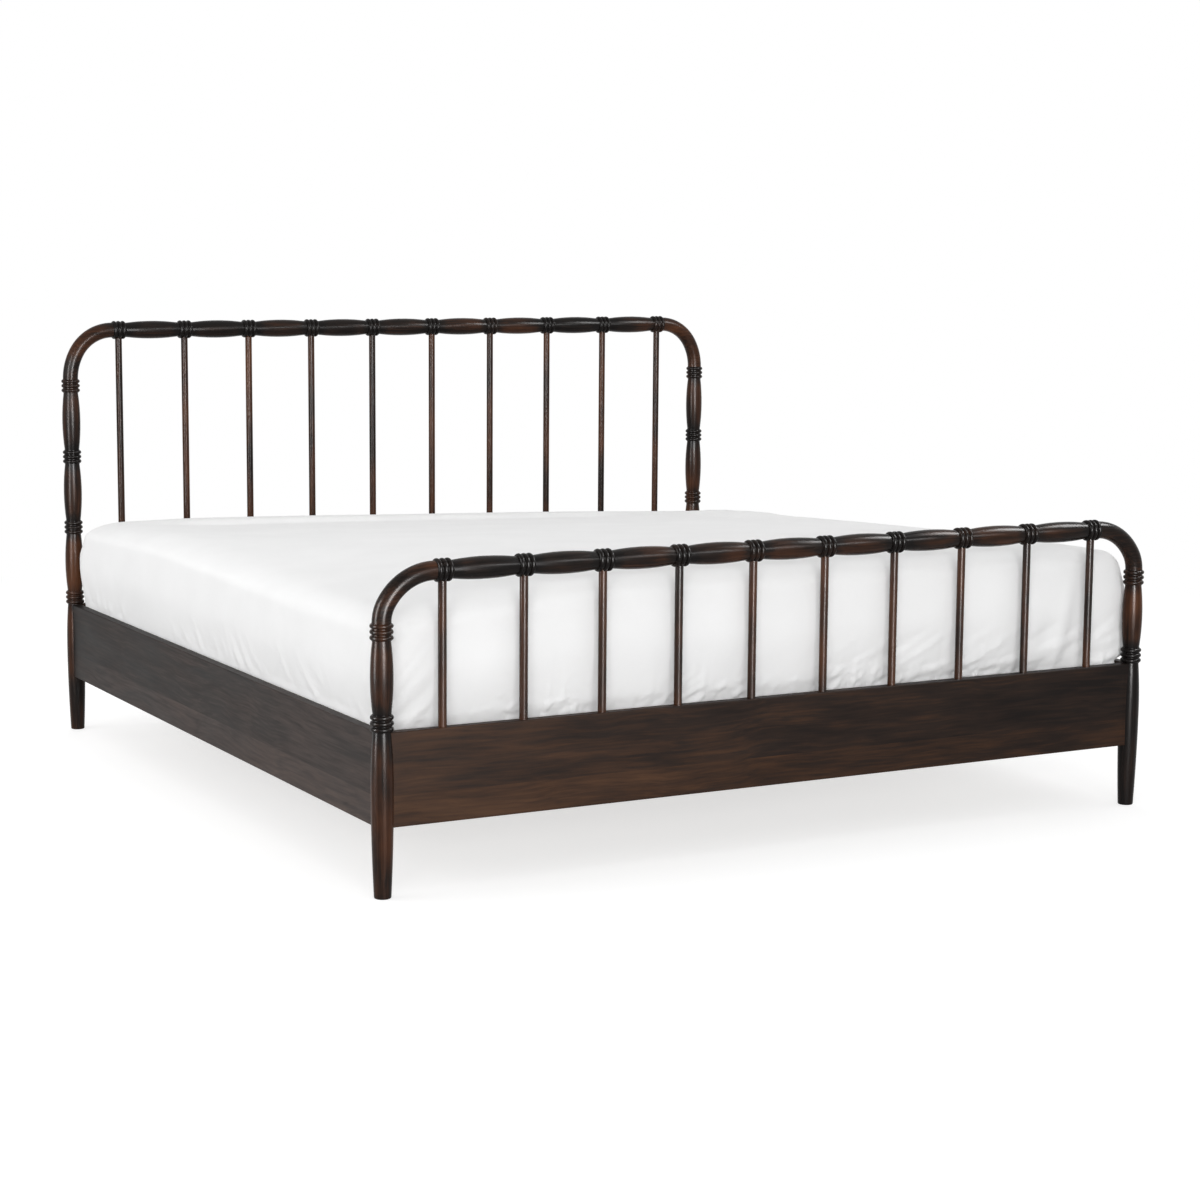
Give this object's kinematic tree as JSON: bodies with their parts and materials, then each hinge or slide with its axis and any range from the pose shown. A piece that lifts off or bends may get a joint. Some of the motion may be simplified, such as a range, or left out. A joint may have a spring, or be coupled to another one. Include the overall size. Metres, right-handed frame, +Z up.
{
  "type": "spindle bed",
  "caption": "Wide low-footed wooden bed with turned, ringed posts, bowed spindle head and foot boards, plank rails, slatted base and a mattress in a plain fitted sheet.",
  "frame": {"origin": "on the floor, under the middle of the bed, midway between the four posts", "axes": "+X across the bed to the right as seen from its foot end, +Y from the foot end to the head end, +Z up"},
  "size_m": [2.04, 2.135, 1.1304],
  "materials": {
    "stained_wood": "satin",
    "base_wood": "matte",
    "black_steel": "satin",
    "zinc_steel": "satin",
    "leveller_plastic": "matte",
    "mattress_ticking": "matte",
    "sheet_cotton": "matte"
  },
  "bodies": {
    "frame": {"bracket_bolts": "zinc_steel", "centre_leg_foot": "base_wood", "centre_leg_head": "base_wood", "centre_rail": "base_wood", "centre_rail_saddles": "black_steel", "corner_braces": "black_steel", "foot_elbow_left": "stained_wood", "foot_elbow_right": "stained_wood", "foot_lower_rail": "stained_wood", "foot_post_left": "stained_wood", "foot_post_right": "stained_wood", "foot_spindle_01": "stained_wood", "foot_spindle_02": "stained_wood", "foot_spindle_03": "stained_wood", "foot_spindle_04": "stained_wood", "foot_spindle_05": "stained_wood", "foot_spindle_06": "stained_wood", "foot_spindle_07": "stained_wood", "foot_spindle_08": "stained_wood", "foot_spindle_09": "stained_wood", "foot_spindle_10": "stained_wood", "foot_top_rail": "stained_wood", "head_elbow_left": "stained_wood", "head_elbow_right": "stained_wood", "head_lower_rail": "stained_wood", "head_post_left": "stained_wood", "head_post_right": "stained_wood", "head_spindle_01": "stained_wood", "head_spindle_02": "stained_wood", "head_spindle_03": "stained_wood", "head_spindle_04": "stained_wood", "head_spindle_05": "stained_wood", "head_spindle_06": "stained_wood", "head_spindle_07": "stained_wood", "head_spindle_08": "stained_wood", "head_spindle_09": "stained_wood", "head_spindle_10": "stained_wood", "head_top_rail": "stained_wood", "ledger_left": "base_wood", "ledger_right": "base_wood", "side_rail_left": "stained_wood", "side_rail_right": "stained_wood", "slat_01": "base_wood", "slat_02": "base_wood", "slat_03": "base_wood", "slat_04": "base_wood", "slat_05": "base_wood", "slat_06": "base_wood", "slat_07": "base_wood", "slat_08": "base_wood", "slat_09": "base_wood", "slat_10": "base_wood", "slat_11": "base_wood", "slat_12": "base_wood", "wood_screws": "zinc_steel"},
    "bedding": {"mattress": "mattress_ticking", "fitted_sheet": "sheet_cotton"},
    "foot_leveller": {"leveller_foot": "leveller_plastic"},
    "head_leveller": {"leveller_head": "leveller_plastic"}
  },
  "joints": [
    {"name": "mattress_lift", "type": "slide", "parent": "frame", "child": "bedding", "axis": [0, 0, 1], "range_m": [0, 0.42]},
    {"name": "foot_leveller_screw", "type": "slide", "parent": "frame", "child": "foot_leveller", "axis": [0, 0, 1], "range_m": [-0.015, 0.01]},
    {"name": "head_leveller_screw", "type": "slide", "parent": "frame", "child": "head_leveller", "axis": [0, 0, 1], "range_m": [-0.015, 0.01]}
  ]
}
